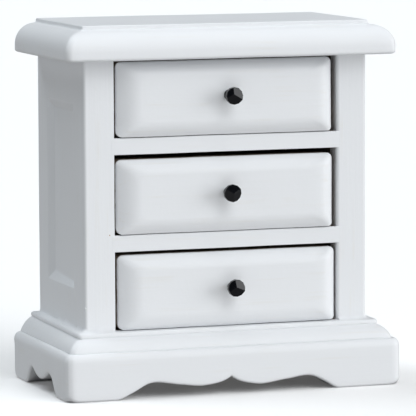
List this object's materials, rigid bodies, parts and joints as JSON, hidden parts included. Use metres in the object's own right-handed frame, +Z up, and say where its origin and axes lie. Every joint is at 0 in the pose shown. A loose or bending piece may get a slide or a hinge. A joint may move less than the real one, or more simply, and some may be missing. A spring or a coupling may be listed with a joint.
{
  "type": "miniature chest of drawers",
  "caption": "Dolls house bedside chest in white-painted wood: moulded top, sunk side panels, scalloped plinth, and crowned drawers that slide out on faceted black knobs.",
  "frame": {"origin": "centre of the footprint, on the surface that the feet stand on", "axes": "+X to the chest's right as seen from its front, +Y to its back, +Z up; the drawers open towards -Y"},
  "size_m": [0.048, 0.0252, 0.05],
  "materials": {
    "white_paint": "satin white paint on close-grained wood",
    "bare_wood": "unpainted basswood, sanded",
    "black_knob": "polished black, faceted"
  },
  "bodies": {
    "case": {"top_board": "white_paint", "side_panel_left": "white_paint", "side_panel_right": "white_paint", "back_panel": "white_paint", "shelf_lower": "white_paint", "shelf_upper": "white_paint", "base_board": "white_paint", "apron_front": "white_paint", "apron_left": "white_paint", "apron_right": "white_paint"},
    "drawer_top": {"drawer_top_front": "white_paint", "drawer_top_side_left": "bare_wood", "drawer_top_side_right": "bare_wood", "drawer_top_back": "bare_wood", "drawer_top_bottom": "bare_wood", "drawer_top_knob": "black_knob"},
    "drawer_middle": {"drawer_middle_front": "white_paint", "drawer_middle_side_left": "bare_wood", "drawer_middle_side_right": "bare_wood", "drawer_middle_back": "bare_wood", "drawer_middle_bottom": "bare_wood", "drawer_middle_knob": "black_knob"},
    "drawer_bottom": {"drawer_bottom_front": "white_paint", "drawer_bottom_side_left": "bare_wood", "drawer_bottom_side_right": "bare_wood", "drawer_bottom_back": "bare_wood", "drawer_bottom_bottom": "bare_wood", "drawer_bottom_knob": "black_knob"}
  },
  "joints": [
    {"name": "drawer_top_slide", "type": "slide", "parent": "case", "child": "drawer_top", "axis": [0, -1, 0], "range_m": [0, 0.015]},
    {"name": "drawer_middle_slide", "type": "slide", "parent": "case", "child": "drawer_middle", "axis": [0, -1, 0], "range_m": [0, 0.015]},
    {"name": "drawer_bottom_slide", "type": "slide", "parent": "case", "child": "drawer_bottom", "axis": [0, -1, 0], "range_m": [0, 0.015]}
  ]
}
